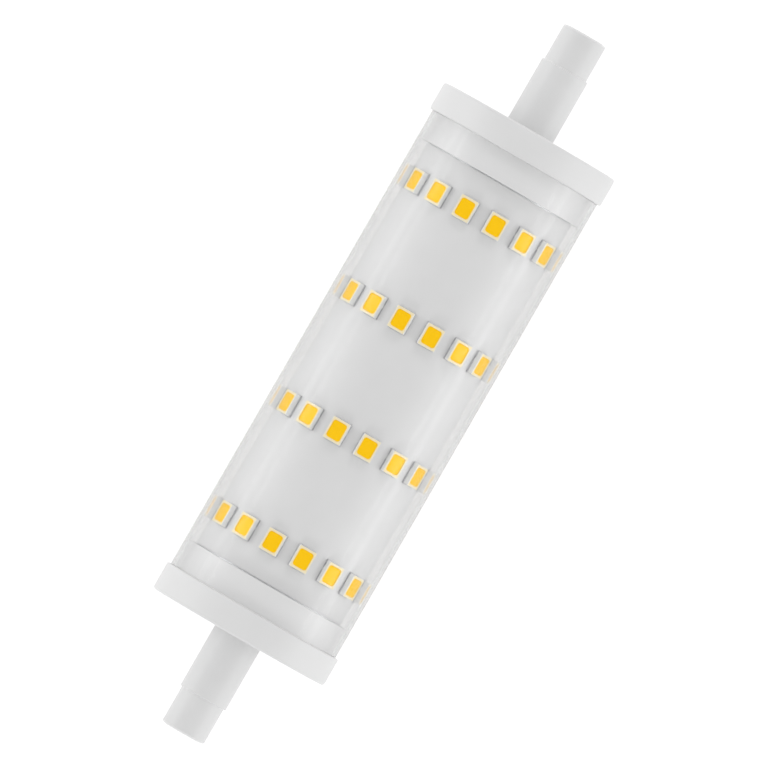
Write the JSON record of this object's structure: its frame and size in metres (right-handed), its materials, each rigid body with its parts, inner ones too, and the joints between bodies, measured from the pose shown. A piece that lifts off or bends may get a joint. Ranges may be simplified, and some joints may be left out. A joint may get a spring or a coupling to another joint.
{
  "type": "linear led bulb",
  "caption": "Double-ended linear LED bulb: white end caps with a recessed contact in each tip, a clear cover tube, and rings of LEDs around a tubular core.",
  "frame": {"origin": "centre of the lamp, on its axis, halfway between the two tips", "axes": "+X along the lamp's axis towards the right end cap, +Z towards the side the picture shows; the LED board's seam faces -Z"},
  "size_m": [0.118, 0.0288, 0.0288],
  "materials": {
    "clear_cover": "clear, polished",
    "cap_moulding": "fine satin white",
    "contact_metal": "satin nickel plate",
    "core_metal": "drawn",
    "board_white": "white solder mask",
    "led_housing": "white moulding",
    "led_phosphor": "yellow silicone",
    "solder": "reflowed solder",
    "sleeve_film": "translucent film",
    "circuit_board": "green solder mask",
    "resistor_body": "lacquered",
    "varistor_body": "blue epoxy",
    "film_capacitor_box": "boxed, yellow",
    "ferrite": "sintered",
    "copper_wire": "enamelled",
    "capacitor_can": "sleeved can",
    "black_package": "moulded epoxy",
    "chip_resistor": "fired",
    "supply_wire": "white insulation",
    "red_wire": "red insulation",
    "black_wire": "black insulation"
  },
  "bodies": {
    "root": {"cover_tube": "clear_cover", "end_caps": "cap_moulding", "contacts": "contact_metal", "core_tube": "core_metal", "led_board": "board_white", "insulating_sleeve": "sleeve_film", "driver_board": "circuit_board", "fuse_resistor": "resistor_body", "varistor": "varistor_body", "film_capacitor": "film_capacitor_box", "inductor_core": "ferrite", "inductor_winding": "copper_wire", "bulk_capacitor": "capacitor_can", "bridge_rectifier": "black_package", "driver_chip": "black_package", "freewheel_diode": "black_package", "chip_resistors": "chip_resistor", "supply_wires": "supply_wire", "led_wire_positive": "red_wire", "led_wire_negative": "black_wire", "led_housings_row_1": "led_housing", "led_phosphor_row_1": "led_phosphor", "led_solder_row_1": "solder", "led_housings_row_2": "led_housing", "led_phosphor_row_2": "led_phosphor", "led_solder_row_2": "solder", "led_housings_row_3": "led_housing", "led_phosphor_row_3": "led_phosphor", "led_solder_row_3": "solder", "led_housings_row_4": "led_housing", "led_phosphor_row_4": "led_phosphor", "led_solder_row_4": "solder"}
  },
  "joints": []
}
